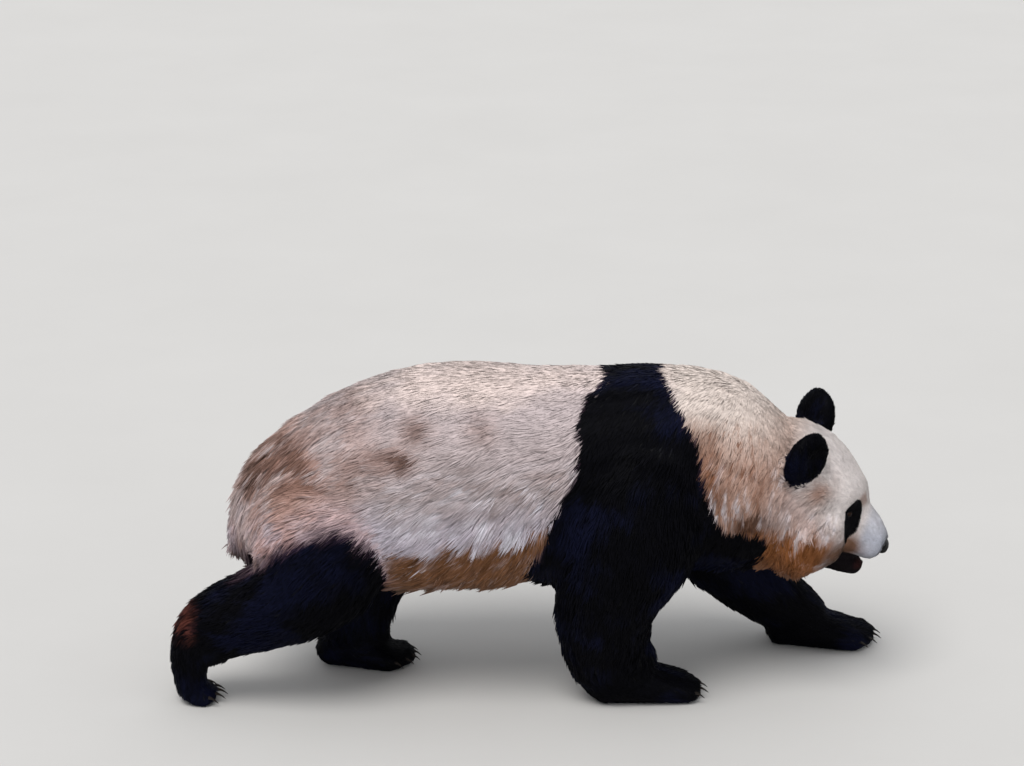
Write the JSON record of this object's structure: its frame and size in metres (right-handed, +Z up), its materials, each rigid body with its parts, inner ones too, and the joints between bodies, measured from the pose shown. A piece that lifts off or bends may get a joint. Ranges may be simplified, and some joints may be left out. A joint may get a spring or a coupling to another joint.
{
  "type": "life-size giant panda model",
  "caption": "Still museum model of a giant panda in mid walk, head low, standing on four paws.",
  "frame": {"origin": "centre of the bounding box in plan, on the floor under the soles", "axes": "+X towards the nose along the walk, +Y to the animal's left, +Z up"},
  "size_m": [1.7076, 0.5684, 0.7724],
  "materials": {
    "cream_fur": "long soft cream fur, streaked tan",
    "black_fur": "dense black fur with a faint blue sheen",
    "eye": "wet and glossy",
    "nose_leather": "pebbled, slightly moist",
    "claw_horn": "worn horn"
  },
  "bodies": {
    "root": {"belly": "cream_fur", "chest": "black_fur", "ear_left": "black_fur", "ear_right": "black_fur", "eye_left": "eye", "eye_right": "eye", "front_left_claw_1": "claw_horn", "front_left_claw_2": "claw_horn", "front_left_claw_3": "claw_horn", "front_left_claw_4": "claw_horn", "front_left_claw_5": "claw_horn", "front_left_lower_leg": "black_fur", "front_left_paw": "black_fur", "front_left_upper_leg": "black_fur", "front_right_claw_1": "claw_horn", "front_right_claw_2": "claw_horn", "front_right_claw_3": "claw_horn", "front_right_claw_4": "claw_horn", "front_right_claw_5": "claw_horn", "front_right_lower_leg": "black_fur", "front_right_paw": "black_fur", "front_right_upper_leg": "black_fur", "head": "cream_fur", "hind_left_claw_1": "claw_horn", "hind_left_claw_2": "claw_horn", "hind_left_claw_3": "claw_horn", "hind_left_claw_4": "claw_horn", "hind_left_claw_5": "claw_horn", "hind_left_lower_leg": "black_fur", "hind_left_paw": "black_fur", "hind_left_upper_leg": "black_fur", "hind_right_claw_1": "claw_horn", "hind_right_claw_2": "claw_horn", "hind_right_claw_3": "claw_horn", "hind_right_claw_4": "claw_horn", "hind_right_claw_5": "claw_horn", "hind_right_lower_leg": "black_fur", "hind_right_paw": "black_fur", "hind_right_upper_leg": "black_fur", "hindquarters": "cream_fur", "lower_jaw": "cream_fur", "neck": "cream_fur", "nose": "nose_leather", "tail": "cream_fur"}
  },
  "joints": []
}
